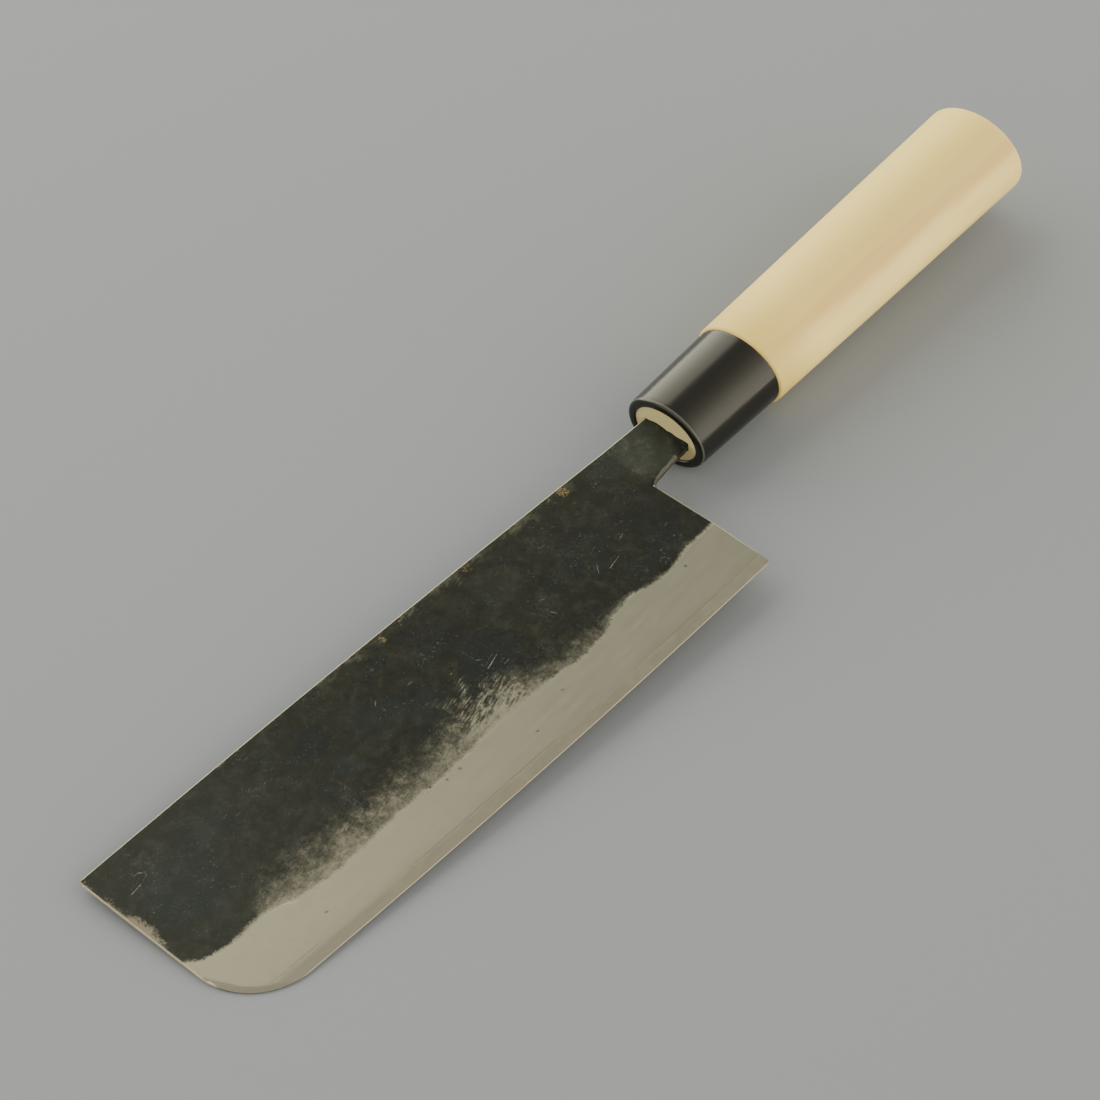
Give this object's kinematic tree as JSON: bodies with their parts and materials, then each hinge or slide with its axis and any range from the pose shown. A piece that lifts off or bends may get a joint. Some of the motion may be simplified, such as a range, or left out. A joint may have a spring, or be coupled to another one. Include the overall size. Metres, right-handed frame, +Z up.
{
  "type": "nakiri knife",
  "caption": "Vegetable knife with a tall straight-edged blade of forged three-layer steel and an oval wooden handle in a black ferrule.",
  "frame": {"origin": "centre of the base of the box around the knife as it lies at rest on its right side", "axes": "+X from the blade's front end towards the butt, +Y from the cutting edge towards the spine, +Z up, out of the left side of the blade"},
  "size_m": [0.3088, 0.0602, 0.0277],
  "materials": {
    "core_steel": "ground satin, slightly darker than the layers beside it",
    "cladding": "black forge scale on the flats, bare satin grind on the wide bevel",
    "ferrule": "polished black",
    "handle": "sanded bare white wood"
  },
  "bodies": {
    "root": {"core_steel": "core_steel", "cladding_left": "cladding", "cladding_right": "cladding", "ferrule": "ferrule", "handle": "handle"}
  },
  "joints": []
}
